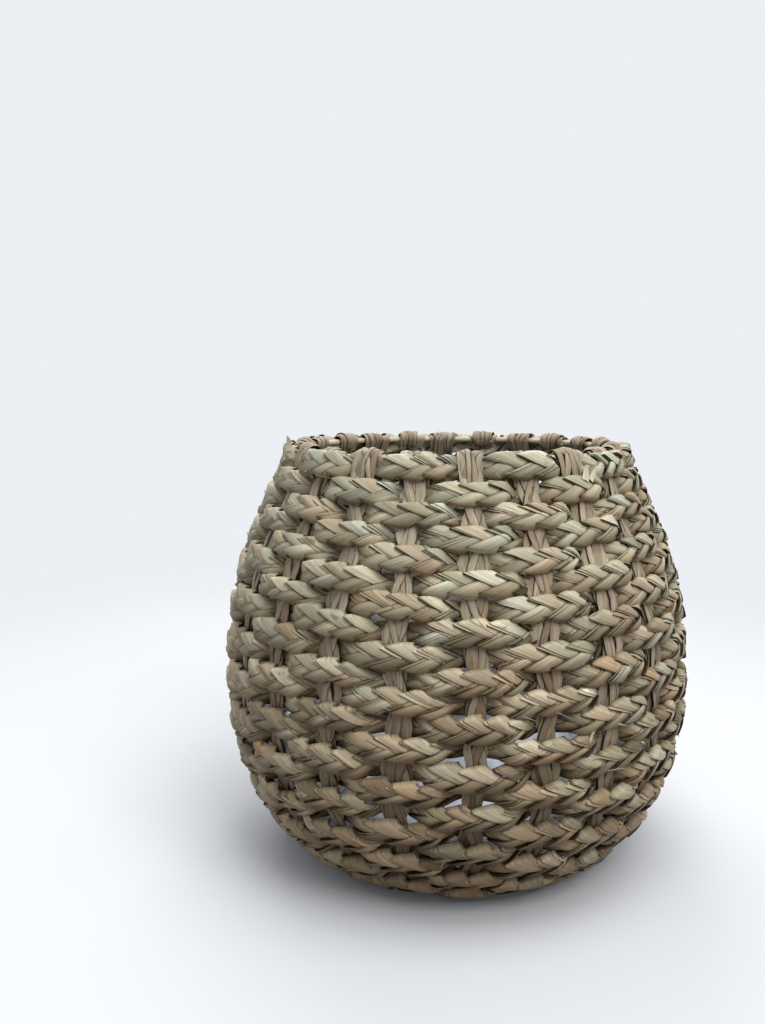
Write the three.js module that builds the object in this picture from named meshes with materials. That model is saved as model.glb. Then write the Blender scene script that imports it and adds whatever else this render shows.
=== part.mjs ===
// Round-bellied planter basket. Plaited leaf rows are woven round upright leaf stakes,
// the stakes turn over a thin rim hoop, and a film liner lies inside.
// Millimetres, +Z up, the front of the basket faces -Y.

import * as THREE from 'three';

// Overall sizes
const basketHeight = 368;
const bellyDiameter = 420.5;
const bellyHeight = 155;
const mouthDiameter = 306.5;
const footDiameter = 236;

// The plaited rows
const rowCount = 25;
const braidThickness = 9;
const rowGap = 2.25;

// The stakes and the hoop that they turn over
const stakeCount = 22;
const stakeWidth = 16;
const stakeThickness = 4.5;
const stakeSideGap = 1;
const hoopRodDiameter = 5.5;

// The middle of the base and the liner
const baseCentreRadius = 71;
const baseCentreThickness = 18;
const baseCentreChamfer = 4;
const linerThickness = 0.8;

// Clearances between pieces that touch on the real basket
const weaveClearance = 0.5;
const hoopClearance = 0.3;
const linerClearance = 0.6;

// How full the wall's two curves are, as shares of the run that each curve covers
const footCurveShare = 0.54;
const lowerBellyShare = 0.5;
const upperBellyShare = 0.53;
const neckSpreadShare = 0.52;
const neckHeightShare = 0.37;

// Where the liner's edge lies, as a share of the basket's height
const linerTopShare = 0.91;

// The row weaves from one side of the wall to the other by this much each way
const waveDepth = (braidThickness + stakeThickness) / 2 + weaveClearance;
const bumpDepth = waveDepth + braidThickness / 2;
const bellyRadius = bellyDiameter / 2 - bumpDepth;
const mouthRadius = mouthDiameter / 2 - bumpDepth;
const footRadius = footDiameter / 2;

const stakeStep = (2 * Math.PI) / stakeCount;
const ringSides = 2 * stakeCount;
const ringStep = stakeStep / 2;

// Middle of the base and wall, from the axis out to the foot and up to the mouth
function makeWallCurve() {
  const footRun = bellyRadius - footRadius;
  const bellyRun = bellyHeight - bumpDepth;
  const neckRun = basketHeight - bellyHeight;
  const curve = new THREE.CurvePath();
  curve.add(new THREE.LineCurve(
    new THREE.Vector2(0, bumpDepth),
    new THREE.Vector2(footRadius, bumpDepth),
  ));
  curve.add(new THREE.CubicBezierCurve(
    new THREE.Vector2(footRadius, bumpDepth),
    new THREE.Vector2(footRadius + footCurveShare * footRun, bumpDepth),
    new THREE.Vector2(bellyRadius, bellyHeight - lowerBellyShare * bellyRun),
    new THREE.Vector2(bellyRadius, bellyHeight),
  ));
  curve.add(new THREE.CubicBezierCurve(
    new THREE.Vector2(bellyRadius, bellyHeight),
    new THREE.Vector2(bellyRadius, bellyHeight + upperBellyShare * neckRun),
    new THREE.Vector2(
      mouthRadius + neckSpreadShare * (bellyRadius - mouthRadius),
      basketHeight - neckHeightShare * neckRun,
    ),
    new THREE.Vector2(mouthRadius, basketHeight),
  ));
  return curve;
}

const wallCurve = makeWallCurve();
const wallLength = wallCurve.getLength();

// Place, direction up the wall and outward direction at a length along the wall curve
function wallFrame(length) {
  const share = length / wallLength;
  const tangent = wallCurve.getTangent(share);
  return {
    point: wallCurve.getPoint(share),
    tangent,
    normal: new THREE.Vector2(tangent.y, -tangent.x),
  };
}

function movedPoint(frame, along, outward) {
  return frame.point.clone().addScaledVector(frame.tangent, along).addScaledVector(frame.normal, outward);
}

// Centre of the hoop's rod, set in from the stakes that turn over it
const hoopRodRadius = hoopRodDiameter / 2;
const turnRadius = hoopRodRadius + hoopClearance + stakeThickness / 2;

function makeHoopFrame() {
  const topFrame = wallFrame(wallLength);
  const drop = stakeThickness / 2 + turnRadius * (1 - topFrame.normal.y);
  const length = wallLength - drop / topFrame.tangent.y;
  return { ...wallFrame(length), length };
}

const hoopFrame = makeHoopFrame();
const hoopCentre = movedPoint(hoopFrame, 0, -turnRadius);

// Rows at an even pitch along the wall, from under the hoop to the middle of the base
const rowsTop = hoopFrame.length - hoopRodRadius - hoopClearance;
const rowPitch = (rowsTop - baseCentreRadius + rowGap / 2) / (rowCount + 0.5);
const braidWidth = rowPitch - rowGap;
const rowFrames = [];
for (let row = 0; row < rowCount; row += 1) {
  rowFrames.push(wallFrame(rowsTop - braidWidth / 2 - row * rowPitch));
}

// Corner of the wall's outline between two rows, so that each stretch runs flat past its row
function cornerBetween(upperFrame, lowerFrame, outward) {
  const fromUpper = movedPoint(upperFrame, -rowPitch / 2, outward);
  const fromLower = movedPoint(lowerFrame, rowPitch / 2, outward);
  return fromUpper.add(fromLower).multiplyScalar(0.5);
}

// Closed solid through rings of points: the rings close on themselves, or the ends are capped
function solidThroughRings(rings, closed) {
  const sides = rings[0].length;
  const positions = rings.flat().flatMap((point) => [point.x, point.y, point.z]);
  const triangles = [];
  const lastRing = closed ? rings.length : rings.length - 1;
  for (let ring = 0; ring < lastRing; ring += 1) {
    const here = ring * sides;
    const next = ((ring + 1) % rings.length) * sides;
    for (let side = 0; side < sides; side += 1) {
      const beside = (side + 1) % sides;
      triangles.push(here + side, here + beside, next + beside);
      triangles.push(here + side, next + beside, next + side);
    }
  }
  if (!closed) {
    const end = (rings.length - 1) * sides;
    for (let side = 1; side < sides - 1; side += 1) {
      triangles.push(0, side + 1, side);
      triangles.push(end, end + side, end + side + 1);
    }
  }
  const geometry = new THREE.BufferGeometry();
  geometry.setAttribute('position', new THREE.Float32BufferAttribute(positions, 3));
  geometry.setIndex(triangles);
  geometry.computeVertexNormals();
  return geometry;
}

// Point of the wall's section carried round the axis, spread so that flats face the stakes
function turnedPoint(sectionPoint, angle) {
  const radius = sectionPoint.x / Math.cos(ringStep / 2);
  return new THREE.Vector3(radius * Math.sin(angle), -radius * Math.cos(angle), sectionPoint.y);
}

// Ring of flats round the axis, whose section may differ from place to place
function ringSolid(sectionAt) {
  const rings = [];
  for (let side = 0; side < ringSides; side += 1) {
    const angle = (side - 0.5) * ringStep;
    rings.push(sectionAt(side).map((point) => turnedPoint(point, angle)));
  }
  return solidThroughRings(rings, true);
}

// One plaited row: in front of every other stake and behind those between
function braidRow(row) {
  const frame = rowFrames[row];
  return ringSolid((side) => {
    const stake = Math.floor(side / 2);
    const inFront = (row + stake) % 2 === 1;
    const wave = inFront ? waveDepth : -waveDepth;
    const inner = wave - braidThickness / 2;
    const outer = wave + braidThickness / 2;
    const corners = [
      movedPoint(frame, -braidWidth / 2, inner),
      movedPoint(frame, braidWidth / 2, inner),
      movedPoint(frame, braidWidth / 2, outer),
      movedPoint(frame, -braidWidth / 2, outer),
    ];
    return corners.map((corner) => new THREE.Vector2(corner.x, Math.max(corner.y, 0)));
  });
}

function rimHoop() {
  const rodSides = 6;
  return ringSolid(() => {
    const section = [];
    for (let side = 0; side < rodSides; side += 1) {
      const angle = (side * 2 * Math.PI) / rodSides;
      section.push(new THREE.Vector2(
        hoopCentre.x + hoopRodRadius * Math.cos(angle),
        hoopCentre.y - hoopRodRadius * Math.sin(angle),
      ));
    }
    return section;
  });
}

// Stakes narrow toward the middle of the base, to stay inside the rows' flats
function stakeHalfWidth(radius) {
  const flatHalfWidth = radius * Math.tan(ringStep / 2);
  return Math.min(stakeWidth / 2, flatHalfWidth - stakeSideGap);
}

// Stations down one stake: inner point, outer point and half width
function stakeStations(tailLength) {
  const half = stakeThickness / 2;
  const stations = [];
  const addStation = (inner, outer) => {
    stations.push({ inner, outer, halfWidth: stakeHalfWidth((inner.x + outer.x) / 2) });
  };
  const tipFrame = wallFrame(baseCentreRadius + weaveClearance);
  addStation(movedPoint(tipFrame, 0, -half), movedPoint(tipFrame, 0, half));
  for (let row = rowCount - 1; row > 0; row -= 1) {
    addStation(
      cornerBetween(rowFrames[row - 1], rowFrames[row], -half),
      cornerBetween(rowFrames[row - 1], rowFrames[row], half),
    );
  }
  const turnSteps = 6;
  for (let step = 0; step <= turnSteps; step += 1) {
    const angle = (Math.PI * step) / turnSteps;
    const direction = hoopFrame.normal.clone().multiplyScalar(Math.cos(angle));
    direction.addScaledVector(hoopFrame.tangent, Math.sin(angle));
    addStation(
      hoopCentre.clone().addScaledVector(direction, turnRadius - half),
      hoopCentre.clone().addScaledVector(direction, turnRadius + half),
    );
  }
  addStation(
    movedPoint(hoopFrame, -tailLength, -2 * turnRadius + half),
    movedPoint(hoopFrame, -tailLength, -2 * turnRadius - half),
  );
  return stations;
}

// One stake, from the middle of the base up the wall, over the hoop and down inside
function stake(index) {
  const angle = index * stakeStep;
  const outwardAxis = new THREE.Vector3(Math.sin(angle), -Math.cos(angle), 0);
  const sideAxis = new THREE.Vector3(Math.cos(angle), Math.sin(angle), 0);
  const firstRowIsInside = index % 2 === 0;
  const tailRow = rowFrames[firstRowIsInside ? 0 : 1];
  const tailLength = hoopFrame.point.distanceTo(tailRow.point) - braidWidth / 2 - weaveClearance;
  const place = (point, aside) => {
    const placed = outwardAxis.clone().multiplyScalar(point.x).addScaledVector(sideAxis, aside);
    placed.z = point.y;
    return placed;
  };
  const rings = stakeStations(tailLength).map(({ inner, outer, halfWidth }) => [
    place(inner, halfWidth),
    place(inner, -halfWidth),
    place(outer, -halfWidth),
    place(outer, halfWidth),
  ]);
  return solidThroughRings(rings, false);
}

// Thick start of the base, which the stakes' ends meet
function baseCentre() {
  const lower = bumpDepth - baseCentreThickness / 2;
  const upper = bumpDepth + baseCentreThickness / 2;
  const outline = [
    new THREE.Vector2(0, lower),
    new THREE.Vector2(baseCentreRadius - baseCentreChamfer, lower),
    new THREE.Vector2(baseCentreRadius, lower + baseCentreChamfer),
    new THREE.Vector2(baseCentreRadius, upper - baseCentreChamfer),
    new THREE.Vector2(baseCentreRadius - baseCentreChamfer, upper),
    new THREE.Vector2(0, upper),
  ];
  const geometry = new THREE.LatheGeometry(outline, ringSides);
  geometry.rotateX(Math.PI / 2);
  return geometry;
}

// Film liner: an open bag that lies against the inside of the rows
function filmLiner() {
  const edgeHeight = linerTopShare * basketHeight;
  const lineAt = (outward) => {
    const line = [new THREE.Vector2(0, bumpDepth - outward)];
    for (let row = rowCount - 1; row > 0; row -= 1) {
      if (cornerBetween(rowFrames[row - 1], rowFrames[row], 0).y < edgeHeight) {
        line.push(cornerBetween(rowFrames[row - 1], rowFrames[row], outward));
      }
    }
    return line;
  };
  const outside = -(bumpDepth + linerClearance);
  const outline = lineAt(outside).concat(lineAt(outside - linerThickness).reverse());
  const spread = 1 / Math.cos(stakeStep / 2);
  const geometry = new THREE.LatheGeometry(
    outline.map((point) => new THREE.Vector2(point.x * spread, point.y)),
    stakeCount,
    stakeStep / 2,
  );
  geometry.rotateX(Math.PI / 2);
  return geometry;
}

const materials = {
  braid: { color: 0xb0a184, roughness: 0.8, metalness: 0 },
  stake: { color: 0xa08672, roughness: 0.85, metalness: 0 },
  hoop: { color: 0xd8cdb2, roughness: 0.7, metalness: 0 },
  liner: { color: 0xc6ccd6, roughness: 0.35, metalness: 0 },
};

const basket = new THREE.Group();

function addPiece(name, geometry, kind) {
  const piece = new THREE.Mesh(geometry, new THREE.MeshStandardMaterial(materials[kind]));
  piece.name = name;
  basket.add(piece);
}

function numbered(stem, number) {
  return `${stem}_${String(number).padStart(2, '0')}`;
}

for (let row = 0; row < rowCount; row += 1) {
  addPiece(numbered('braid_row', row + 1), braidRow(row), 'braid');
}
for (let index = 0; index < stakeCount; index += 1) {
  addPiece(numbered('stake', index + 1), stake(index), 'stake');
}
addPiece('rim_hoop', rimHoop(), 'hoop');
addPiece('base_centre', baseCentre(), 'braid');
addPiece('film_liner', filmLiner(), 'liner');

export default basket;
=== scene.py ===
import math

import bpy
import numpy as np
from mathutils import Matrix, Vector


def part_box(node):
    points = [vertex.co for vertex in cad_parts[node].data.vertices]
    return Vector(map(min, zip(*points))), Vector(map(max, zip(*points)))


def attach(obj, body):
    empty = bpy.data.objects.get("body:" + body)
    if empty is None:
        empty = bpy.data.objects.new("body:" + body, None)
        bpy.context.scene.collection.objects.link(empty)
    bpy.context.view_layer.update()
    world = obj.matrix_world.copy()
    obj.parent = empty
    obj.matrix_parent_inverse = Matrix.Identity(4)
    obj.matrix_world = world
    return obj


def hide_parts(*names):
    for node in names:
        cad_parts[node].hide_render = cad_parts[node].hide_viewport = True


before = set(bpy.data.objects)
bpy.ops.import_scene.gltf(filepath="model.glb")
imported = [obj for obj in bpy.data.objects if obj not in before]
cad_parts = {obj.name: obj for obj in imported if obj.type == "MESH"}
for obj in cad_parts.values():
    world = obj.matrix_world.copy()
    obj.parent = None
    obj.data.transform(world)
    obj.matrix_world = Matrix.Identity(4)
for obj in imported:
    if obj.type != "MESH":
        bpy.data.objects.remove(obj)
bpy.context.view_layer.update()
chance = np.random.default_rng(41)

# Sizes of the weave, in metres, beside those that the frame gives
stake_count = 22
stake_thickness = 0.0045
plait_thickness = 0.009
plait_half_width = 0.0079
weave_clearance = 0.0005
hoop_clearance = 0.0003
frame_wave_depth = (plait_thickness + stake_thickness) / 2 + weave_clearance
front_depth = 0.94 * frame_wave_depth
back_depth = 0.74 * frame_wave_depth
rest_height = 0.002

# Where a row passes from behind a stake to the front of the next, as shares of the way between them
crossing_start = 0.08
crossing_end = 0.56

# How far a row strays from its even line: along, up, outward, and in its turn
row_pull = 0.0068
row_lift = 0.0019
row_push = 0.0006
row_roll = 0.2
top_row_raise = 0.0016

# A row's width: its share of the even width, what it gains in front of a stake, and by chance
row_width = 0.985
row_front_swell = 0.065
row_chance_swell = 0.09

# The plait's repeat, the folds at its edges, and how its strands lie on one another
repeat_length = 0.0675
fold_reach = 0.0014
fold_bulge = 0.0007
shingle_slope = 0.165
plait_roundness = 0.0024
strand_unevenness = 0.08
strand_drift = 0.0014

# Leaves: half the thickness of one, the step between two that lie together, how much one bows
# and sways, and the distance that stands for a spot which no other leaf covers
leaf_half_thickness = 0.00022
leaf_layer = 0.00055
leaf_bow = 0.0002
leaf_sway = 0.00012
not_covered = -0.01

# Steps along one half repeat of a strand, close together where it folds over the edge
fold_to_fold = np.array([0, 0.03, 0.07, 0.16, 0.27, 0.38, 0.48, 0.58, 0.68, 0.79, 0.9, 0.965])


class Wander:
    """A smooth seeded waviness, from -1 to 1, that meets itself after a length."""

    def __init__(self, length, spacing):
        self.count = max(4, round(length / spacing))
        self.length = length
        self.values = chance.uniform(-1, 1, self.count)

    def __call__(self, where):
        place = (where / self.length * self.count) % self.count
        before = np.floor(place).astype(int) % self.count
        share = place - np.floor(place)
        share = share * share * (3 - 2 * share)
        return self.values[before] * (1 - share) + self.values[(before + 1) % self.count] * share


def soft_step(low, high, value):
    share = np.clip((value - low) / (high - low), 0, 1)
    return share * share * (3 - 2 * share)


def unit(vectors):
    return vectors / np.linalg.norm(vectors, axis=-1, keepdims=True)


def stack(*parts):
    return np.stack(np.broadcast_arrays(*parts), axis=-1)


def run_along(points):
    """Length along a line of points, at each of them."""
    steps = np.linalg.norm(np.diff(points, axis=0), axis=1)
    return np.concatenate([[0], np.cumsum(steps)])


def directions(angle):
    """The directions away from the axis and round it, at an angle from the front."""
    return stack(np.sin(angle), -np.cos(angle), 0), stack(np.cos(angle), np.sin(angle), 0)


def smooth_line(points, per_span):
    """A curve through points, with an even number of steps to each span."""
    ends = np.vstack([2 * points[0] - points[1], points, 2 * points[-1] - points[-2]])
    share = np.arange(per_span)[:, None] / per_span
    spans = []
    for a, b, c, d in zip(ends[:-3], ends[1:-2], ends[2:-1], ends[3:]):
        bend = (2 * a - 5 * b + 4 * c - d) * share**2
        twist = (3 * b - a - 3 * c + d) * share**3
        spans.append(0.5 * (2 * b + (c - a) * share + bend + twist))
    return np.vstack(spans + [points[-1:]])


def mesh_points(mesh):
    flat = np.empty(len(mesh.vertices) * 3)
    mesh.vertices.foreach_get("co", flat)
    return flat.reshape(-1, 3)


# Where the frame puts the rows and the hoop, as distances from the axis and heights
def row_centre(name):
    points = mesh_points(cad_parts[name].data)
    reach = np.hypot(points[:, 0], points[:, 1]).mean() * math.cos(math.pi / (2 * stake_count))
    return np.array([reach, points[:, 2].mean()])


row_names = sorted(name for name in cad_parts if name.startswith("braid_row"))
stake_names = sorted(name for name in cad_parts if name.startswith("stake"))
row_count = len(row_names)
row_centres = np.array([row_centre(name) for name in row_names])
row_ups = unit(np.gradient(-row_centres, axis=0))
row_outs = np.stack([row_ups[:, 1], -row_ups[:, 0]], axis=-1)
top_up, top_out = row_ups[0], row_outs[0]

# The frame's hoop is a rod of six flats, whose height is that across its flats
hoop_low, hoop_high = (np.array(corner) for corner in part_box("rim_hoop"))
hoop_rod = (hoop_high[2] - hoop_low[2]) * 2 / math.sqrt(3)
hoop_radius = (hoop_high[0] - hoop_low[0]) / 2 - hoop_rod / 2
hoop_height = (hoop_high[2] + hoop_low[2]) / 2
hoop_spot = np.array([hoop_radius, hoop_height])


class RowGuide:
    """The middle line of one row, in front of every other stake and behind those between."""

    closed = True

    def __init__(self, row):
        deep = (row / row_count) ** 1.5
        self.behind_first_stake = (row + 1) % 2
        self.raised = top_row_raise if row == 0 else 0
        self.centre, self.up, self.out = row_centres[row], row_ups[row], row_outs[row]
        # Painted light on inward faces, most on the top two rows; painted shade deep behind stakes and on the
        # low edge, more lower down
        self.inner_light = 1.6 if row < 2 else 1.35
        self.hidden_shade = 0.5 + 0.5 * deep
        self.low_shade = self.hidden_shade - 0.05
        self.low_start = -0.3 + 0.8 * deep
        self.angles = np.linspace(0, 2 * math.pi, stake_count * 64 + 1)
        self.runs = run_along(self.line(self.angles)[0])
        self.length = self.runs[-1]
        self.lift = Wander(self.length, 0.07)
        self.push = Wander(self.length, 0.06)
        self.roll = Wander(self.length, 0.05)
        self.pull = Wander(self.length, 0.052)
        self.swell = Wander(self.length, 0.085)

    def wave(self, angle):
        """1 where the row passes in front of a stake and -1 where it passes behind the next."""
        stakes = angle * stake_count / (2 * math.pi)
        from_behind = np.abs((stakes + self.behind_first_stake) % 2 - 1)
        return 2 * soft_step(crossing_start, crossing_end, from_behind) - 1

    def depth(self, angle):
        return (front_depth - back_depth) / 2 + (front_depth + back_depth) / 2 * self.wave(angle)

    def line(self, angle):
        """Points of the middle line, its direction and the direction up the wall."""
        small = 1e-4
        depth = self.depth(angle)
        slope = (self.depth(angle + small) - self.depth(angle - small)) / (2 * small)
        radial, around = directions(angle)
        rise = np.array([0, 0, 1])
        reach = (self.centre[0] + depth * self.out[0])[..., None]
        height = (self.centre[1] + depth * self.out[1])[..., None]
        outward = radial * self.out[0] + rise * self.out[1]
        tangent = unit(around * reach + slope[..., None] * outward)
        return radial * reach + rise * height, tangent, radial * self.up[0] + rise * self.up[1]

    def pulled(self, run):
        return run + row_pull * self.pull(run)

    def angle_at(self, run):
        return np.interp(run % self.length, self.runs, self.angles)

    def place(self, run, rise, out):
        """Points at a run along the row, a rise up the wall and a distance outward."""
        run = self.pulled(run)
        angle = self.angle_at(run)
        point, tangent, up = self.line(angle)
        wave = self.wave(angle)
        width = row_width + row_front_swell * wave + row_chance_swell * self.swell(run)
        rise = rise * width + row_lift * self.lift(run)
        rise = rise + self.raised * (1.4 - 0.5 * wave)
        roll = row_roll * self.roll(run)
        turned_rise = rise * np.cos(roll) - out * np.sin(roll)
        turned_out = rise * np.sin(roll) + out * np.cos(roll) + row_push * self.push(run)
        outward = unit(np.cross(tangent, up))
        return point + up * turned_rise[..., None] + outward * turned_out[..., None]

    def shade(self, run, rise, outer):
        """Leaf lightness: painted shade where they lie deep or low, painted light where they face inward."""
        wave = self.wave(self.angle_at(self.pulled(run)))
        hidden = soft_step(0.85, -0.5, wave)
        low = soft_step(self.low_start * plait_half_width, -1.05 * plait_half_width, rise)
        outside = (1 - self.hidden_shade * hidden) * (1 - self.low_shade * low)
        inside = self.inner_light - 0.3 * soft_step(-0.85, 0.5, wave)
        return outside * outer + inside * (1 - outer)


class CoilGuide:
    """A spiral, for a plait that stands on edge in the middle of the base."""

    closed = False

    def __init__(self, inner, outer, pitch, height):
        self.inner, self.pitch, self.height = inner, pitch, height
        self.angles = np.linspace(0, 2 * math.pi * (outer - inner) / pitch, 1500)
        self.runs = run_along(self.line(self.angles)[0])
        self.length = self.runs[-1]

    def line(self, angle):
        radial, around = directions(angle)
        reach = (self.inner + self.pitch * angle / (2 * math.pi))[..., None]
        point = radial * reach + np.array([0, 0, self.height])
        tangent = unit(around * reach + radial * self.pitch / (2 * math.pi))
        return point, tangent, np.broadcast_to(np.array([0.0, 0.0, 1.0]), point.shape)

    def place(self, run, rise, out):
        point, tangent, up = self.line(np.interp(run, self.runs, self.angles))
        return point + up * rise[..., None] + unit(np.cross(tangent, up)) * out[..., None]

    def shade(self, run, rise, outer):
        return 1 + 0 * run


class LeafMesh:
    """Gathers leaf strips, each a closed thin body, into one mesh with their marks and coordinates."""

    def __init__(self):
        self.points, self.faces, self.uvs = [], [], []
        self.marks = {"tint": [], "light": [], "edge": [], "gap": [], "tuck": [], "open": []}
        self.count = 0

    def add(self, rings, along, across, marks, closed=False, turned=False):
        """One strip through rings of points. Turned means that they run the other way round."""
        steps, sides = rings.shape[:2]
        marks = {name: np.broadcast_to(mark, (steps, sides)) for name, mark in marks.items()}
        if turned:
            rings, across = rings[:, ::-1], across[::-1]
            marks = {name: mark[:, ::-1] for name, mark in marks.items()}
        numbers = self.count + np.arange(steps * sides).reshape(steps, sides)
        step = np.arange(steps if closed else steps - 1)[:, None]
        side = np.arange(sides)[None, :]
        after, beside = (step + 1) % steps, (side + 1) % sides
        quads = [numbers[step, side], numbers[step, beside], numbers[after, beside], numbers[after, side]]
        u0, u1 = along[step] + 0 * side, along[step + 1] + 0 * side
        v0, v1 = across[side] + 0 * step, across[side + 1] + 0 * step
        corners = [stack(u0, v0), stack(u0, v1), stack(u1, v1), stack(u1, v0)]
        self.faces.append(np.stack(quads, axis=-1).reshape(-1, 4))
        self.uvs.append(np.stack(corners, axis=2).reshape(-1, 2))
        self.points.append(rings.reshape(-1, 3))
        for name, values in self.marks.items():
            values.append(marks[name].reshape(-1))
        if not closed:
            self.cap(numbers[0][::-1], along[0], across[0])
            self.cap(numbers[-1], along[-1], across[0])
        self.count += steps * sides

    def cap(self, ring, along, across):
        for start in range(len(ring) // 2 - 1):
            corners = [ring[start], ring[start + 1], ring[-start - 2], ring[-start - 1]]
            self.faces.append(np.array([corners]))
            self.uvs.append(np.array([[along, across]] * 4))

    def make(self, name, material):
        points = np.concatenate(self.points)
        pressed = rest_height * np.exp(np.minimum(points[:, 2] / rest_height - 1, 0))
        points[:, 2] = np.where(points[:, 2] < rest_height, pressed, points[:, 2])
        faces = np.concatenate(self.faces)
        uvs = np.concatenate(self.uvs)
        mesh = bpy.data.meshes.new(name)
        mesh.vertices.add(len(points))
        mesh.vertices.foreach_set("co", points.astype(np.float32).ravel())
        mesh.loops.add(faces.size)
        mesh.loops.foreach_set("vertex_index", faces.astype(np.int32).ravel())
        mesh.polygons.add(len(faces))
        mesh.polygons.foreach_set("loop_start", np.arange(len(faces), dtype=np.int32) * 4)
        mesh.update(calc_edges=True)
        mesh.uv_layers.new(name="leaf").data.foreach_set("uv", uvs.astype(np.float32).ravel())
        for mark, values in self.marks.items():
            attribute = mesh.attributes.new(mark, "FLOAT", "POINT")
            attribute.data.foreach_set("value", np.concatenate(values).astype(np.float32))
        mesh.shade_smooth()
        mesh.set_sharp_from_angle(angle=math.radians(75))
        mesh.validate()
        piece = bpy.data.objects.new(name, mesh)
        bpy.context.scene.collection.objects.link(piece)
        mesh.materials.append(material)
        return piece


def tent(share, ridge):
    """The fold along a leaf: 1 on its ridge and 0 at both edges."""
    return 1 - np.abs(share - ridge) / np.where(share > ridge, 1 - ridge, 1 + ridge)


def roof(rise):
    """How far a plait falls back from its ridge: nearly flat on each side, so that its leaves stay flat."""
    return 0.7 * (np.sqrt(rise**2 + 0.04) - 0.2) + 0.35 * rise**2


def plait_leaf_section(layer, ridge, cover):
    """Places across a leaf, from edge to edge and back, and the face that each lies on."""
    edge = 0 * ridge
    if layer:
        places = [edge - 1, (ridge - 1) / 2, ridge - 0.12, ridge + 0.12, (ridge + 1) / 2, edge + 1,
                  edge + 0.5, edge - 0.5]
        faces = [0, 1, 1, 1, 1, 0, -1, -1]
    else:
        cover = np.clip(cover, -0.9, 0.6)
        places = [edge - 1, cover - 0.04, cover + 0.12, edge + 1, edge + 0.4, (cover - 1) / 2]
        faces = [0, 1, 1, 0, -1, -1]
    return np.concatenate(places, axis=1), np.array(faces)


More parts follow.
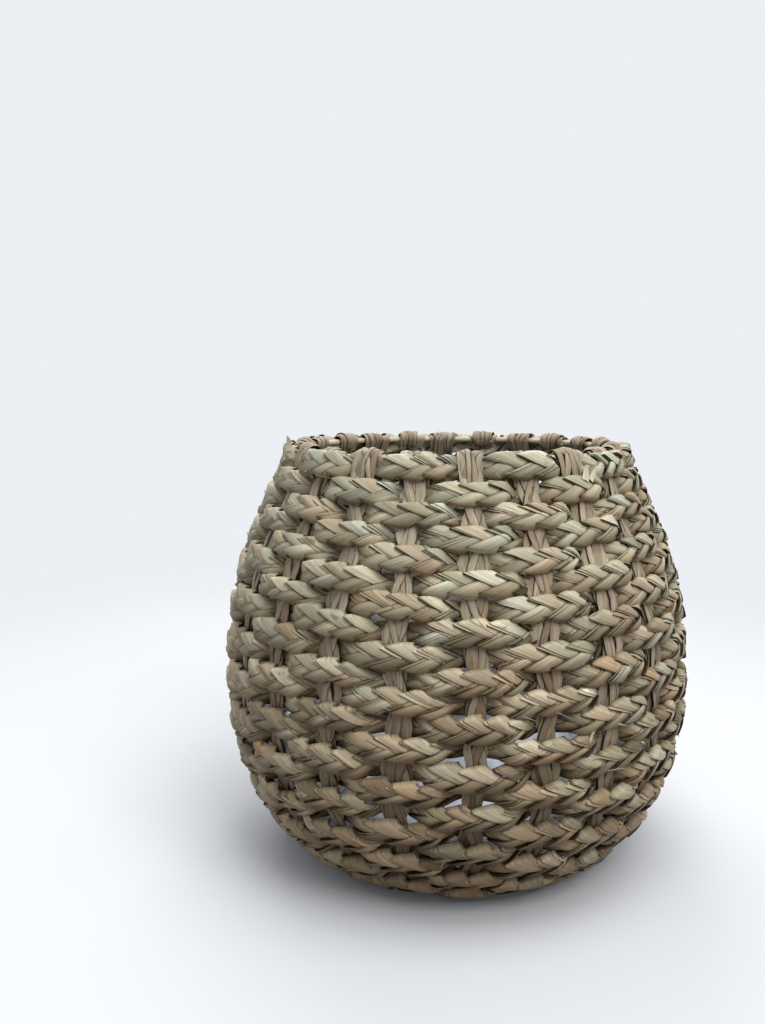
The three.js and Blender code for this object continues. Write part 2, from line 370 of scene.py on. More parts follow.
class Strand:
    """One strand of a flat plait of three: over its neighbour, under the next, and folded at the edge."""

    def __init__(self, guide, number, repeats, phase, fullness, roundness):
        self.guide, self.phase = guide, phase
        self.fullness, self.roundness = fullness, roundness
        self.lobes = 2 * repeats
        self.repeat = guide.length / repeats
        self.half = self.repeat / 2
        self.width = self.repeat / 3
        self.start = number * self.repeat / 3
        self.travel = ((np.arange(self.lobes)[:, None] + fold_to_fold) * self.half).reshape(-1)
        self.end = guide.length
        if not guide.closed:
            self.travel = self.travel[self.travel < guide.length - 2 * self.repeat]
            self.end = self.travel[-1] + 0.001
        self.breadth = Wander(guide.length, 0.05)
        self.depth = Wander(guide.length, 0.04)
        self.drift = Wander(guide.length, 0.06)

    def sheet(self, travel, across):
        """Run, rise and depth of the strand's middle: flat shingles, each lying on the one before it."""
        quarter = self.half / 2
        since = travel % self.half
        near = np.minimum(since, self.half - since)
        lead = np.sqrt(near**2 + fold_reach**2) - fold_reach
        slope = 1 / (math.sqrt(quarter**2 + fold_reach**2) - fold_reach)
        fall = np.maximum(1 - slope * lead, 0) ** 1.1
        turned = np.cos(math.pi / 2 * np.minimum(near / fold_reach, 1)) ** 2
        width = plait_half_width * self.fullness * (1 + strand_unevenness * self.breadth(travel))
        side = np.where(travel % self.repeat < self.half, 1, -1) * np.where(since < quarter, 1, -1)
        rise = side * (width * fall + fold_bulge * turned) * (1 + 0.3 * across / self.width)
        fold_rise = np.sin(math.pi / 2 * np.minimum(near / (0.65 * fold_reach), 1))
        above = (quarter - np.clip(since, fold_reach, self.half - fold_reach)) * fold_rise - across
        slant = shingle_slope * (1 + strand_unevenness * self.depth(travel))
        out = slant * above - self.roundness * roof(rise / plait_half_width)
        run = travel + across + self.start + self.phase + strand_drift * self.drift(travel)
        return stack(run, rise, out)

    def surface(self, travel, across, height):
        small = 0.0003
        middle = self.sheet(travel, across)
        along = self.sheet(travel + small, across) - self.sheet(travel - small, across)
        beside = self.sheet(travel, across + small) - self.sheet(travel, across - small)
        return middle + unit(np.cross(along, beside)) * height[..., None]

    def by_lobe(self, values):
        """Values that stay the same over a lobe and change where the strand is hidden below."""
        place = self.travel / self.half
        before = np.floor(place).astype(int)
        share = soft_step(0.68, 0.93, place - before)
        value = values[before % self.lobes] * (1 - share) + values[(before + 1) % self.lobes] * share
        return value[:, None]

    def stray(self, spacing):
        return Wander(self.guide.length, spacing)(self.travel)[:, None]

    def add_leaf(self, leaves, layer, low_shares, cover_shares, lobe_tint, lobe_light):
        """One leaf of the strand, on its outer, inner or middle layer. The order of the draws matters."""
        low = self.width * self.by_lobe(low_shares) + 0.02 * self.width * self.stray(0.025)
        high = self.width * (0.52 + 0.03 * self.stray(0.03))
        cover = self.width * self.by_lobe(cover_shares)
        middle, half = (low + high) / 2, (high - low) / 2
        ridge = self.by_lobe(chance.uniform(-0.4, 0.4, self.lobes))
        crest = self.by_lobe(chance.uniform(0.0003, 0.0010, self.lobes))
        share, face = plait_leaf_section(layer, ridge, (cover - middle) / half)
        across = middle + half * share
        facing = layer or 1
        crown = layer * (crest * tent(share, ridge) + leaf_bow * (1 - share**2))
        height = layer * leaf_layer + crown + face * facing * leaf_half_thickness
        height = height + leaf_sway * self.stray(0.02)
        spots = self.surface(self.travel[:, None] + 0 * across, across, height)
        run, rise, out = (spots[..., part] for part in range(3))
        tint = self.by_lobe(lobe_tint + 0.05 * chance.normal(size=self.lobes))
        light = self.by_lobe(lobe_light * (1 + 0.1 * chance.normal(size=self.lobes)))
        # Slant is painted shade: each lobe lighter on one side and darker on the other, at random
        slant = self.by_lobe(0.12 * chance.normal(size=self.lobes))
        since = self.travel[:, None] % self.half
        tuck = since - self.half / 2 + across / 2
        outer = soft_step(0.002, -0.002, tuck)
        at_fold = np.minimum(since, self.half - since) < 0.04 * self.half
        # The light mark is random tone times the guide's painted shade and painted light
        marks = {
            "tint": tint,
            "light": light * (1 + slant * share) * self.guide.shade(run, rise, outer),
            "edge": np.abs(share),
            "open": 1 - at_fold,
            "gap": across - np.minimum(cover, self.width / 2),
            "tuck": tuck,
        }
        side_run = np.append(share[0], share[0, 0]) * self.width * 0.23 + chance.uniform(0, 5)
        leaves.add(self.guide.place(run, rise, out), np.append(self.travel, self.end), side_run, marks,
                   self.guide.closed, turned=facing < 0)


def leaf_edges(lobes):
    """Each leaf's layer, and the low edges of itself and of its cover, as shares of the strand's width."""
    outer = np.where(chance.uniform(size=lobes) < 0.28, -0.47, chance.uniform(-0.4, -0.12, lobes))
    middle = np.maximum(outer - chance.uniform(0.02, 0.2, lobes), -0.49)
    inner = np.where(chance.uniform(size=lobes) < 0.2, -0.36, chance.uniform(-0.52, -0.46, lobes))
    first_out = np.arange(lobes) % 2 == 0
    no_cover = 9
    return [
        (1, np.where(first_out, outer, inner), np.where(first_out, no_cover, middle)),
        (-1, np.where(first_out, inner, outer), np.where(first_out, middle, no_cover)),
        (0, middle, outer),
    ]


def plait(leaves, guide, tint, light, light_spread=0.12, fullness=1.0, roundness=plait_roundness):
    """A flat plait of three strands along a guide, each strand of three leaves."""
    repeats = max(3, round(guide.length / repeat_length))
    phase = chance.uniform(0, guide.length / repeats)
    for number in range(3):
        strand = Strand(guide, number, repeats, phase, fullness, roundness)
        lobe_tint = tint + 0.1 * chance.normal(size=strand.lobes)
        lobe_tint = lobe_tint + 0.22 * (chance.uniform(size=strand.lobes) < 0.05)
        lobe_light = light * (1 + light_spread * chance.normal(size=strand.lobes))
        for layer, low_shares, cover_shares in leaf_edges(strand.lobes):
            strand.add_leaf(leaves, layer, low_shares, cover_shares, lobe_tint, lobe_light)


def loose_leaf(leaves, guide, start, turn, length, half_width, lift, curl, light):
    """A loose leaf end or fibre that stands off the plait. Its start is a run, a rise and a depth."""
    steps = 6
    run, rise, out = start
    far = np.linspace(0, length, steps + 1)
    turns = turn + curl * far / length
    runs = run + np.append(0, np.cumsum(np.cos(turns[:-1]) * (length / steps)))
    rises = rise + np.append(0, np.cumsum(np.sin(turns[:-1]) * (length / steps)))
    outs = out + lift * (far / length) ** 2 * length
    width = half_width * np.sqrt(np.maximum(1 - (far / length) ** 2.5, 0.02))
    side = np.array([-1, 0, 1, 0]) * width[:, None]
    height = np.array([0, 1, 0, -1]) * min(0.00025, half_width)
    rings = guide.place(
        runs[:, None] - np.sin(turns)[:, None] * side,
        rises[:, None] + np.cos(turns)[:, None] * side,
        outs[:, None] + height + 0 * side)
    marks = {
        "tint": chance.uniform(0.1, 0.7), "light": light, "edge": 0, "open": 0,
        "gap": not_covered, "tuck": not_covered,
    }
    side_run = np.array([-1, 0, 1, 0, -1]) * 0.004 + chance.uniform(0, 5)
    leaves.add(rings, far, side_run, marks)


# Loose leaves that stand out: row, angle from the front, share of the half width, turn, length and half width
named_ends = [
    (1, 33, 0.55, 1.1, 0.011, 0.0032),
    (1, 35, 0.50, 0.7, 0.013, 0.0022),
    (4, 37, -0.35, -1.9, 0.019, 0.0013),
    (4, 35, 0.40, 2.5, 0.012, 0.0012),
    (0, -74, 0.60, 1.9, 0.012, 0.0036),
    (0, -70, 0.50, 1.5, 0.011, 0.0028),
]


def named_leaves(leaves, guide, row):
    for at_row, angle, share, turn, length, half_width in named_ends:
        if at_row == row:
            run = np.interp(math.radians(angle) % (2 * math.pi), guide.angles, guide.runs)
            start = (run, share * plait_half_width, plait_thickness * 0.34)
            loose_leaf(leaves, guide, start, turn, length, half_width, lift=0.25, curl=0.3, light=1.2)


def loose_ends(leaves, guide, tips, fibres):
    """Short leaf tips at the plait's edges, and fibres all over it. The order of the draws matters."""
    front = plait_thickness * 0.08
    for _ in range(tips):
        side = chance.choice([-1, 1])
        rise = side * chance.uniform(0.6, 0.85) * plait_half_width
        turn = side * chance.uniform(0.2, 0.9)
        turn = turn if chance.uniform() < 0.6 else math.pi - turn
        loose_leaf(
            leaves, guide, (chance.uniform(0, guide.length), rise, front), turn,
            length=chance.uniform(0.006, 0.012), half_width=chance.uniform(0.0006, 0.0015),
            lift=chance.uniform(0.1, 0.45), curl=chance.uniform(-0.6, 0.6), light=chance.uniform(0.75, 1.0))
    for _ in range(fibres):
        rise = chance.uniform(-0.9, 0.9) * plait_half_width
        loose_leaf(
            leaves, guide, (chance.uniform(0, guide.length), rise, front), chance.uniform(0, 2 * math.pi),
            length=chance.uniform(0.006, 0.016), half_width=chance.uniform(0.00015, 0.0003),
            lift=chance.uniform(0.1, 0.5), curl=chance.uniform(-1.4, 1.4), light=chance.uniform(0.9, 1.2))


# Where the stakes run, and how far they give inward, cross sideways between the rows and lean
stake_over_hoop = hoop_rod / 2 + hoop_clearance + stake_thickness / 2
base_start = 0.0715
short_tail = 0.008
long_tail = 0.026
stake_give = 0.0006
stake_crossing = 0.0066
stake_lean = 0.0026

# How a stake's leaves fold and twist, and how far those over the hoop draw in at their ends
strip_crown = 0.0006
strip_twist = 0.14
wrap_twist = 0.0009
wrap_outer_tuck = 0.003
wrap_inner_tuck = 0.002

# Places across a stake's leaf, from edge to edge and back, and the face that each lies on
strip_share = np.array([[-1, -0.72, -0.38, 0, 0.38, 0.72, 1, 0.5, -0.5]])
strip_face = np.array([0, 1, 1, 1, 1, 1, 0, -1, -1])
strip_side_run = 0.0045

# Leaves of a stake, from the inside of the basket out: half width, layer and sideways place
stake_strips = [
    (0.0050, -0.0013, 0.0022),
    (0.0036, -0.0008, -0.0050),
    (0.0044, -0.0002, -0.0028),
    (0.0032, 0.0004, 0.0050),
    (0.0036, 0.0010, 0.0018),
    (0.0026, 0.0015, -0.0014),
]

# Leaves spread over the hoop at each stake, which tuck in below it on both sides:
# sideways place low outside, on the hoop and low inside, half width and layer
hoop_wraps = [
    (-0.0060, -0.0070, -0.0044, 0.0034, 0.0014),
    (0.0060, 0.0068, 0.0044, 0.0034, 0.0017),
    (0.0062, -0.0052, -0.0024, 0.0032, 0.0021),
    (-0.0060, 0.0058, 0.0024, 0.0030, 0.0026),
    (0.0010, -0.0010, 0.0006, 0.0022, 0.0031),
]


def first_row_inside(index):
    return index % 2 == 0


def over_hoop(reach):
    """Spots of a section line over the hoop, from its outer side to its inner one."""
    return [hoop_spot + reach * (math.cos(turn) * top_out + math.sin(turn) * top_up)
            for turn in np.linspace(0, math.pi, 7)]


def stake_line(index):
    """Section line of a stake, from the base up and over the hoop, and how open it lies at each spot."""
    spots, open_shares = [np.array([base_start, row_centres[-1][1]])], [0.0]
    for row in range(row_count - 1, -1, -1):
        row_in_front = (row + index) % 2 == 1
        give = stake_give * (2 if row_in_front else 1)
        spots.append(row_centres[row] - give * row_outs[row])
        open_shares.append(0.0 if row_in_front else 1.0)
    turning = over_hoop(stake_over_hoop)
    spots += turning
    open_shares += [1.5] * len(turning)
    tail = short_tail if first_row_inside(index) else long_tail
    for share in (0.4, 0.75, 1.0):
        spots.append(hoop_spot - stake_over_hoop * top_out - tail * share * top_up)
        open_shares.append(1.2 - 0.3 * share)
    return np.array(spots), np.array(open_shares)


def stray_along(run, spacing):
    return Wander(2 * run[-1], spacing)(run)


def lay_strip(leaves, index, line, spans, depth, tint, light, turned=True):
    """A leaf on a stake's section line. Spans are the middle and half width of it and of those over it."""
    middle, half = spans[0]
    sideways = middle + half * strip_share
    heading = unit(np.gradient(line, axis=0))
    outward = np.stack([heading[:, 1], -heading[:, 0]], axis=-1)
    section = outward[:, None, :] * depth[..., None] + line[:, None, :]
    radial, aside = directions(index * 2 * math.pi / stake_count)
    upright = np.array([0, 0, 1])
    rings = radial * section[..., :1] + upright * section[..., 1:] + aside * sideways[..., None]
    gap = 0 * sideways + not_covered
    for over_middle, over_half in spans[1:]:
        gap = np.maximum(gap, 2 * (over_half - np.abs(sideways - over_middle)))
    marks = {
        "tint": tint, "light": light, "edge": np.abs(strip_share), "open": 0,
        "gap": gap, "tuck": not_covered,
    }
    side_run = np.append(strip_share, strip_share[0, 0]) * strip_side_run + chance.uniform(0, 5)
    leaves.add(rings, run_along(line), side_run, marks, turned=turned)


def stake_leaves(leaves, index):
    """The leaves of a stake, which cross one another where no row hides them."""
    spots, open_shares = stake_line(index)
    line = smooth_line(spots, 5)
    run = run_along(line)
    at_spot = np.linspace(0, len(spots) - 1, len(line))
    openness = np.interp(at_spot, np.arange(len(spots)), open_shares)
    hidden = [spot for spot, open_share in enumerate(open_shares) if open_share == 0] + [len(spots) - 1]
    tightness = np.clip((line[:, 0] - 0.06) / 0.05, 0.35, 1)
    lean = stake_lean * stray_along(run, 0.11)
    spans = []
    for half_width, _, place in stake_strips:
        sides = chance.uniform(0.35, 1, len(hidden)) * np.cumprod(chance.choice([-1, -1, 1], len(hidden)))
        weave = np.interp(at_spot, hidden, sides)
        middle = (stake_crossing * weave + 0.65 * place) * (0.88 + 0.34 * openness) + lean
        half = half_width * (0.88 + 0.3 * openness) * tightness * (1 + 0.22 * stray_along(run, 0.04))
        spans.append(((middle * tightness)[:, None], half[:, None]))
    # Painted shade on the stake's end inside the hoop, and darker toward the floor by painted shade
    painted_shade_inside = soft_step(0, 0.006, (line - hoop_spot) @ -top_out) * (line[:, 1] > hoop_height - 0.04)
    foot_shade = 1 - 0.6 * soft_step(0.27, 0.06, line[:, 1])
    patch_count = max(6, int(run[-1] / 0.07))
    patches = np.linspace(0, 1, patch_count) * run[-1]
    for number, (_, layer, _) in enumerate(stake_strips):
        facing = -1 if layer < 0 else 1
        half = spans[number][1]
        ridge = 0.5 * stray_along(run, 0.05)[:, None]
        depth = layer + strip_crown * facing * tent(strip_share, ridge)
        depth = depth + strip_face * facing * leaf_half_thickness
        depth = depth + half * strip_twist * stray_along(run, 0.035)[:, None] * strip_share
        tint = np.interp(run, patches, 0.5 + 0.2 * chance.normal(size=patch_count))
        lights = chance.uniform(0.8, 1.08) * (1 + 0.1 * chance.normal(size=patch_count))
        light = np.interp(run, patches, lights) * foot_shade * (1 - 0.3 * painted_shade_inside)
        lay_strip(leaves, index, line, spans[number:], depth, tint[:, None], light[:, None],
                  turned=facing > 0)


def wrap_line(reach, drop_out, drop_in):
    """Section line of a leaf over the hoop, whose ends draw in toward the weave."""
    return smooth_line(np.array([
        hoop_spot + (reach - wrap_outer_tuck) * top_out - drop_out * top_up,
        hoop_spot + reach * top_out - 0.5 * drop_out * top_up,
        *over_hoop(reach),
        hoop_spot - reach * top_out - 0.5 * drop_in * top_up,
        hoop_spot - (reach - wrap_inner_tuck) * top_out - drop_in * top_up,
    ]), 3)


def wrap_leaves(leaves, index):
    """The leaves spread over the hoop at a stake. The order of the draws matters."""
    lean = chance.choice([-1, 1])
    smoothing = 7
    lines, spans = [], []
    for outside, top, inside, half_width, layer in hoop_wraps:
        if first_row_inside(index):
            reach = stake_over_hoop + layer
            drop_out, drop_in = chance.uniform(0.0175, 0.0195), chance.uniform(0.005, 0.008)
        else:
            reach = stake_over_hoop + 0.5 * layer
            drop_out, drop_in = 0.005, chance.uniform(0.013, 0.021)
        line = wrap_line(reach, drop_out, drop_in)
        far = np.linspace(0, 1, len(line))
        places = lean * (np.array([outside, top, top, inside]) + chance.uniform(-0.0024, 0.0024, 4))
        middle = np.pad(np.interp(far, [0, 0.38, 0.66, 1], places), smoothing // 2, mode="edge")
        middle = np.convolve(middle, np.ones(smoothing) / smoothing, mode="valid")
        fullness = np.interp(far, [0, 0.3, 0.7, 1], [0.85, 1.05, 1.0, 0.6])
        half = half_width * chance.uniform(0.8, 1.25) * fullness
        lines.append(line)
        spans.append((middle[:, None], half[:, None]))
    for number, line in enumerate(lines):
        ridge = chance.uniform(-0.5, 0.5)
        twist = wrap_twist * stray_along(run_along(line), 0.025)[:, None]
        depth = strip_crown * tent(strip_share, ridge) + twist * strip_share
        depth = depth + strip_face * leaf_half_thickness
        # Painted shade on the end of each wrap inside the hoop
        painted_shade_inside = soft_step(0.55, 0.75, np.linspace(0, 1, len(line)))[:, None]
        tint = chance.uniform(0.25, 0.75)
        light = chance.uniform(0.7, 1.0) * (1 - 0.35 * painted_shade_inside)
        lay_strip(leaves, index, line, spans[number:], depth, tint, light)


class Sock:
    """A node's output, whose node maths is written as plain expressions."""

    def __init__(self, nodes, socket):
        self.nodes, self.socket = nodes, socket

    def maths(self, operation, *others):
        inputs = dict(enumerate([self.socket, *others]))
        return self.nodes.node("Math", inputs, operation=operation)

    def __add__(self, other):
        return self.maths("ADD", other)

    def __sub__(self, other):
        return self.maths("SUBTRACT", other)

    def __mul__(self, other):
        return self.maths("MULTIPLY", other)

    def __pow__(self, other):
        return self.maths("POWER", other)

    def __rsub__(self, other):
        return self.nodes.node("Math", {0: other, 1: self.socket}, operation="SUBTRACT")

    __radd__ = __add__
    __rmul__ = __mul__


class Finish:
    """The nodes of a material, or of the room's light."""

    def __init__(self, name, room=None):
        self.material = room or bpy.data.materials.new(name)
        self.material.use_nodes = True
        self.tree = self.material.node_tree
        self.tree.nodes.clear()
        self.output = self.tree.nodes.new("ShaderNodeOutputWorld" if room else "ShaderNodeOutputMaterial")

    def node(self, kind, inputs=None, output=0, stops=None, **settings):
        node = self.tree.nodes.new("ShaderNode" + kind)
        for key, value in settings.items():
            setattr(node, key, value)
        if stops:
            ramp = node.color_ramp
            while len(ramp.elements) < len(stops):
                ramp.elements.new(0.5)
            for element, (place, colour) in zip(ramp.elements, stops):
                element.position = place
                element.color = (*colour, 1)
        for key, value in (inputs or {}).items():
            self.feed(node.inputs[key], value)
        return Sock(self, node.outputs[output])

    def feed(self, socket, value):
        value = value.socket if isinstance(value, Sock) else value
        if isinstance(value, bpy.types.NodeSocket):
            self.tree.links.new(value, socket)
        else:
            socket.default_value = value

    def mix(self, share, first, second, blend="MIX"):
        inputs = {0: share, 6: first, 7: second}
        return self.node("Mix", inputs, output=2, data_type="RGBA", blend_type=blend)

    def ramp(self, value, start, end):
        """0 at the start value, 1 at the end value and smooth between."""
        inputs = {0: value, 1: start, 2: end, 3: 0.0, 4: 1.0}
        return self.node("MapRange", inputs, interpolation_type="SMOOTHSTEP")

    def mark(self, name):
        """One of the marks that the leaf meshes carry."""
        return self.node("Attribute", output=2, attribute_name=name)

    def noise(self, where, scale, detail, roughness=0.5, distortion=0.0):
        inputs = {"Vector": where, "Scale": scale, "Detail": detail}
        return self.node("TexNoise", {**inputs, "Roughness": roughness, "Distortion": distortion})

    def finish(self, shader):
        self.tree.links.new(shader.socket, self.output.inputs["Surface"])
        return self.material


def colour(red, green, blue):
    """A colour as seen on a screen, from 0 to 255, made linear for the nodes."""
    shares = (value / 255 for value in (red, green, blue))
    return tuple(s / 12.92 if s <= 0.04045 else ((s + 0.055) / 1.055) ** 2.4 for s in shares)


def leaf_finish(name, tones, streak, roughness, bump):
    """Dry leaf with fibres and creases along it; painted shade where it goes under another, at its edges and
    creases.
    """
    finish = Finish(name)
    leaf = finish.node("UVMap", uv_map="leaf")
    place = finish.node("TexCoord", output=3)
    tint, light, edge = finish.mark("tint"), finish.mark("light"), finish.mark("edge")
    gap, tuck, exposed = finish.mark("gap"), finish.mark("tuck"), finish.mark("open")

    def streaks(along, across, detail, rough=0.5):
        run = finish.node("VectorMath", {0: leaf, 1: (along, across, 1)}, operation="MULTIPLY")
        return finish.noise(run, 1.0, detail, rough)

    fibres = streaks(28, 2600, 2.0, 0.6)
    bands = streaks(9, 620, 2.0)
    folds = streaks(11, 430, 0.0)
    patches = finish.noise(place, 42.0, 3.0, 0.55)
    specks = finish.noise(place, 260.0, 2.0)
    creases = finish.ramp((folds - 0.5).maths("ABSOLUTE"), 0.022, 0.008) * finish.ramp(patches, 0.42, 0.52)
    layers = finish.ramp(folds, 0.49, 0.51)
    tone = tint + (patches - 0.5) * 0.55 + (bands - 0.5) * 0.35
    base = finish.node("ValToRGB", {0: tone}, stops=tones)
    level = light * (1 + (fibres - 0.5) * streak + (bands - 0.5) * streak + (specks - 0.5) * 0.2)
    # Painted shade: dark lines where a leaf goes under another leaf or under the next strand, and at the
    # leaf's edges
    on_top = finish.ramp(tuck, 0.001, -0.0005)
    under_leaf = finish.ramp(gap, -0.0014, -0.0006) * on_top
    under_strand = finish.ramp(tuck.maths("ABSOLUTE"), 0.0010, 0.0003) * exposed
    level = level * (1 - edge ** 6 * 0.2) * (1 - under_leaf * 0.68) * (1 - under_strand * 0.57)
    # Painted shade in the creases, and one side of each fold line lighter than the other as painted shading
    level = level * (1 - creases * 0.52) * (1.07 - layers * 0.16)
    # Darker levels turn browner and lighter ones a little bluer, so the painted shade is warm
    warm = finish.node("CombineColor", {0: level ** 0.9, 1: level, 2: level ** 1.15})
    shaded = finish.mix(1.0, base, warm, "MULTIPLY")
    height = fibres + bands * 1.5 - creases * 1.5 - layers * 0.8
    normal = finish.node("Bump", {"Strength": bump, "Distance": 0.0004, "Height": height})
    shader = finish.node("BsdfPrincipled", {
        "Base Color": shaded,
        "Roughness": roughness + (bands - 0.5) * 0.25,
        "Normal": normal,
        "Specular IOR Level": 0.4,
    })
    return finish.finish(shader)


plait_tones = [
    (0.0, colour(180, 185, 163)),
    (0.28, colour(194, 190, 165)),
    (0.5, colour(204, 190, 161)),
    (0.75, colour(202, 180, 149)),
    (1.0, colour(197, 163, 118)),
]
stake_tones = [
    (0.0, colour(178, 173, 152)),
    (0.4, colour(187, 174, 151)),
    (0.7, colour(176, 158, 134)),
    (1.0, colour(156, 133, 107)),
]
plaited_leaf = leaf_finish("plaited_leaf", plait_tones, streak=0.4, roughness=0.55, bump=0.35)
stake_leaf = leaf_finish("stake_leaf", stake_tones, streak=0.55, roughness=0.6, bump=0.5)


def cane_finish():
    """Smooth pale cane, with a fine grain round the hoop."""
    finish = Finish("cane_hoop")
    place = finish.node("TexCoord", output=3)
    stretch = finish.node("Mapping", {"Vector": place, "Scale": (60, 60, 900)})
    grain = finish.noise(stretch, 1.0, 3.0)
    patches = finish.noise(place, 25.0, 2.0)
    tone = grain * 0.5 + patches * 0.5
    stops = [(0.3, colour(196, 178, 140)), (0.5, colour(204, 191, 162)), (0.75, colour(216, 206, 182))]
    base = finish.node("ValToRGB", {0: tone}, stops=stops)
    normal = finish.node("Bump", {"Strength": 0.3, "Distance": 0.0003, "Height": grain})
    shader = finish.node("BsdfPrincipled", {
        "Base Color": base,
        "Roughness": 0.45 + grain * 0.2,
        "Normal": normal,
    })
    return finish.finish(shader)


def film_finish():
    """Clear film, milky in patches, more so in a band low in the wall and most at the front, where it has a
    painted glow.
    """
    finish = Finish("liner_film")
    place = finish.node("TexCoord", output=3)
    creases = finish.noise(place, 30.0, 4.0, distortion=1.2)
    stops = [(0.3, colour(230, 234, 243)), (0.7, colour(241, 243, 248))]
    base = finish.node("ValToRGB", {0: creases}, stops=stops)
    normal = finish.node("Bump", {"Strength": 0.5, "Distance": 0.002, "Height": creases})
    height = finish.node("SeparateXYZ", {0: place}, output=2)
    # Painted glow: an emission in a band low in the wall, most at the front, where the film is also milkier
    front = finish.ramp(finish.node("SeparateXYZ", {0: place}, output=1), -0.14, -0.18)
    painted_glow_band = finish.ramp(height, 0.07, 0.095) * finish.ramp(height, 0.185, 0.155)
    painted_glow = finish.mix(painted_glow_band * (0.3 + front * 0.7), (0.0, 0.0, 0.0, 1), (*colour(220, 228, 243), 1))
    body = finish.node("BsdfPrincipled", {
        "Base Color": base,
        "Roughness": 0.3 + creases * 0.2,
        "Normal": normal,
        "Emission Color": painted_glow,
        "Emission Strength": 1.1,
    })
    glow = finish.node("BsdfTranslucent", {"Color": (*colour(236, 239, 246), 1), "Normal": normal})
    milky = finish.node("MixShader", {0: 0.75, 1: body, 2: glow})
    clear = finish.node("BsdfTransparent", {"Color": (*colour(248, 251, 255), 1)})
    milk = finish.ramp(finish.noise(place, 17.0, 3.0, distortion=0.8), 0.36, 0.6)
    share = 0.05 + milk * 0.12 + painted_glow_band * (0.15 + front * 0.85) * (0.2 + milk * 0.5)
    shader = finish.node("MixShader", {0: share, 1: clear, 2: milky})
    return finish.finish(shader)


cane = cane_finish()
film = film_finish()


def add_piece(piece, slot, *nodes):
    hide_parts(*nodes)
    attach(piece, "root")


# The plaited rows, greener at the top and browner toward the floor, and darker toward it by painted shade
for row, name in enumerate(row_names):
    down = row / (row_count - 1)
    leaves = LeafMesh()
    guide = RowGuide(row)
    plait(
        leaves, guide, tint=0.31 + 0.42 * down, light=0.86 + 0.10 * down - 0.65 * down**2.2,
        light_spread=0.12 + 0.17 * down, fullness=0.97 + 0.03 * down if row else 1.06,
        roundness=(0.9 + 0.9 * down) * plait_roundness)
    loose_ends(leaves, guide, tips=4, fibres=8)
    named_leaves(leaves, guide, row)
    add_piece(leaves.make(name.replace("braid", "plaited"), plaited_leaf), "plaited_leaf", name)

for index, name in enumerate(stake_names):
    leaves = LeafMesh()
    stake_leaves(leaves, index)
    wrap_leaves(leaves, index)
    add_piece(leaves.make(name + "_leaves", stake_leaf), "stake_leaf", name)

# The middle of the base, a coil of the same plait on edge
base_low, base_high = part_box("base_centre")
leaves = LeafMesh()
coil = CoilGuide(inner=0.0045, outer=0.0790, pitch=0.0088, height=(base_low[2] + base_high[2]) / 2)
plait(leaves, coil, tint=0.6, light=0.9)
add_piece(leaves.make("base_coil", plaited_leaf), "plaited_leaf", "base_centre")


def deselect_all():
    bpy.ops.object.select_all(action="DESELECT")


def settle(piece, name, material):
    """Names a new piece, puts its place in its mesh and gives it its material."""
    piece.name = name
    piece.data.name = name
    bpy.ops.object.transform_apply(location=True, rotation=True, scale=True)
    piece.data.materials.clear()
    piece.data.materials.append(material)
    return piece


def make_hoop():
    deselect_all()
    bpy.ops.mesh.primitive_torus_add(
        location=(0, 0, hoop_height), major_radius=hoop_radius, minor_radius=hoop_rod / 2,
        major_segments=160, minor_segments=12)
    hoop = settle(bpy.context.object, "cane_hoop", cane)
    bpy.ops.object.shade_smooth()
    return hoop


add_piece(make_hoop(), "cane_hoop", "rim_hoop")

# The film: its gap to the weave, the radius of its flat middle, how far its edge lies below that of
# the solid, the least last step up to the edge, the creases, the edge's sag and the thickness
film_gap = 0.001
film_middle = 0.09
film_edge_drop = 0.016
film_last_step = 0.004
film_crease = 0.0012
film_edge_sag = 0.004
film_thickness = 0.0003


def film_line(high_z):
    """Section line of the film, close inside the rows, from its flat middle up to its edge."""
    inset = frame_wave_depth + plait_thickness / 2 + film_gap
    line = smooth_line(row_centres[::-1] - inset * row_outs[::-1], 2)
    line = line[(line[:, 0] > film_middle) & (line[:, 1] < high_z - film_last_step)]
    step = line[-1] - line[-2]
    return np.vstack([line, line[-1] + step * (high_z - line[-1][1]) / step[1]])


def crease_film(mesh, low_z, high_z):
    """Draws the film in by uneven folds and lets its edge sag."""
    whole_turn = 2 * math.pi
    points = mesh_points(mesh)
    angle = np.arctan2(points[:, 0], -points[:, 1]) % whole_turn
    high = np.clip((points[:, 2] - low_z) / (high_z - low_z), 0, 1)
    crease = Wander(whole_turn, 0.09)(angle + 0.25 * high)
    crease = crease + 0.6 * Wander(whole_turn, 0.04)(angle - 0.3 * high)
    reach = np.hypot(points[:, 0], points[:, 1])
    give = film_crease * (crease - 1.2) * np.clip(reach / film_middle, 0, 1)
    sag = film_edge_sag * (1 + Wander(whole_turn, 0.2)(angle))
    points[:, :2] *= (1 + give / np.maximum(reach, 1e-4))[:, None]
    points[:, 2] -= np.where(high > 0.97, sag, 0)
    mesh.vertices.foreach_set("co", points.ravel())
    mesh.update()


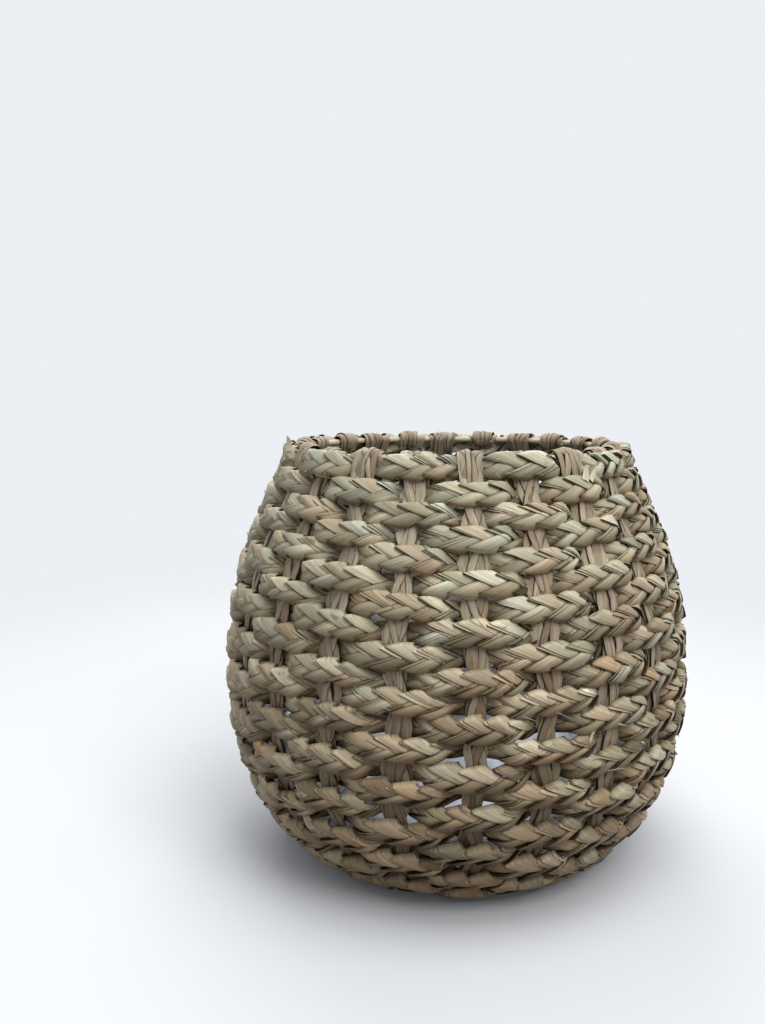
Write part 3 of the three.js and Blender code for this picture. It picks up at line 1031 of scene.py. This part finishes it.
def make_liner():
    """The film bag: a disc whose rim is extruded up the wall, ring by ring, then creased and made thick."""
    low_z, high_z = (corner[2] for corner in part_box("film_liner"))
    high_z = high_z - film_edge_drop
    line = film_line(high_z)
    deselect_all()
    bpy.ops.mesh.primitive_circle_add(
        vertices=176, radius=line[0][0], fill_type="TRIFAN", location=(0, 0, line[0][1]))
    bag = bpy.context.object
    bpy.ops.object.mode_set(mode="EDIT")
    bpy.ops.mesh.select_all(action="DESELECT")
    bpy.ops.mesh.select_non_manifold()
    for before, spot in zip(line[:-1], line[1:]):
        grow = spot[0] / before[0]
        bpy.ops.mesh.extrude_edges_move(TRANSFORM_OT_translate={"value": (0, 0, spot[1] - before[1])})
        bpy.ops.transform.resize(value=(grow, grow, 1))
    bpy.ops.mesh.select_all(action="SELECT")
    bpy.ops.mesh.normals_make_consistent(inside=False)
    bpy.ops.object.mode_set(mode="OBJECT")
    liner = settle(bag, "liner_bag", film)
    crease_film(liner.data, low_z, high_z)
    bpy.ops.object.modifier_add(type="SOLIDIFY")
    wall = liner.modifiers[-1]
    wall.thickness = film_thickness
    wall.offset = -1
    bpy.ops.object.modifier_apply(modifier=wall.name)
    bpy.ops.object.shade_smooth()
    return liner


add_piece(make_liner(), "liner_film", "film_liner")


def seen_rays(nodes):
    """1 for rays of the camera, straight or by way of a shine or a clear film, and 0 for the others."""
    camera_rays, glossy, through = (
        nodes.node("LightPath", output=f"Is {kind} Ray") for kind in ("Camera", "Glossy", "Transmission"))
    return (camera_rays + glossy + through).maths("MINIMUM", 1.0)


def make_floor():
    """The floor, pale where it is seen, which fades into the pale room behind."""
    finish = Finish("pale_floor")
    place = finish.node("TexCoord", output=3)
    mottle = finish.noise(place, 3.0, 2.0)
    pale = finish.mix(mottle, (*colour(228, 230, 233), 1), (*colour(234, 236, 238), 1))
    base = finish.mix(seen_rays(finish), (*colour(104, 88, 76), 1), pale)
    body = finish.node("BsdfPrincipled", {"Base Color": base, "Roughness": 0.9})
    reach = finish.node("VectorMath", {0: place}, output="Value", operation="LENGTH")
    fade = finish.ramp(reach, 0.45, 1.5) * seen_rays(finish)
    far = finish.node("BsdfTransparent")
    material = finish.finish(finish.node("MixShader", {0: fade, 1: body, 2: far}))
    deselect_all()
    bpy.ops.mesh.primitive_circle_add(vertices=96, radius=6, fill_type="NGON", location=(0, 0, 0))
    settle(bpy.context.object, "pale_floor", material)


make_floor()


def add_lamp(name, place, turn, size, power):
    data = bpy.data.lights.new(name, "AREA")
    data.shape = "RECTANGLE"
    data.size, data.size_y = size
    data.energy = power
    lamp = bpy.data.objects.new(name, data)
    lamp.location = place
    lamp.rotation_euler = tuple(math.radians(angle) for angle in turn)
    bpy.context.scene.collection.objects.link(lamp)


add_lamp("ceiling_panel", place=(0.3, -0.5, 2.0), turn=(12, 9, 0), size=(1.3, 1.0), power=17.5)
add_lamp("front_panel", place=(0.8, -1.5, 1.7), turn=(46, 0, 28), size=(1.2, 0.9), power=17.5)
add_lamp("back_panel", place=(-0.3, 1.1, 1.5), turn=(-42, -10, 0), size=(1.4, 1.0), power=13)

# The room's light, weaker than the pale room that is seen
room = Finish("room_light", bpy.data.worlds.new("room_light"))
strength = room.node("MapRange", {0: seen_rays(room), 3: 0.50, 4: 1.0})
glow = room.mix(seen_rays(room), (0.93, 0.96, 1.0, 1), (*colour(236, 239, 243), 1))
room.finish(room.node("Background", {"Color": glow, "Strength": strength}))
bpy.context.scene.world = room.material

# The camera that was fitted to the photograph
camera_data = bpy.data.cameras.new("photo_camera")
camera_data.lens = 33.05
camera_data.sensor_width = 36
camera_data.sensor_fit = "AUTO"
camera = bpy.data.objects.new("photo_camera", camera_data)
camera.location = (-0.0654, -0.8481, 0.420)
camera.rotation_euler = (math.radians(82.1), 0, 0)
bpy.context.scene.collection.objects.link(camera)
bpy.context.scene.camera = camera
bpy.context.scene.view_settings.view_transform = "Standard"
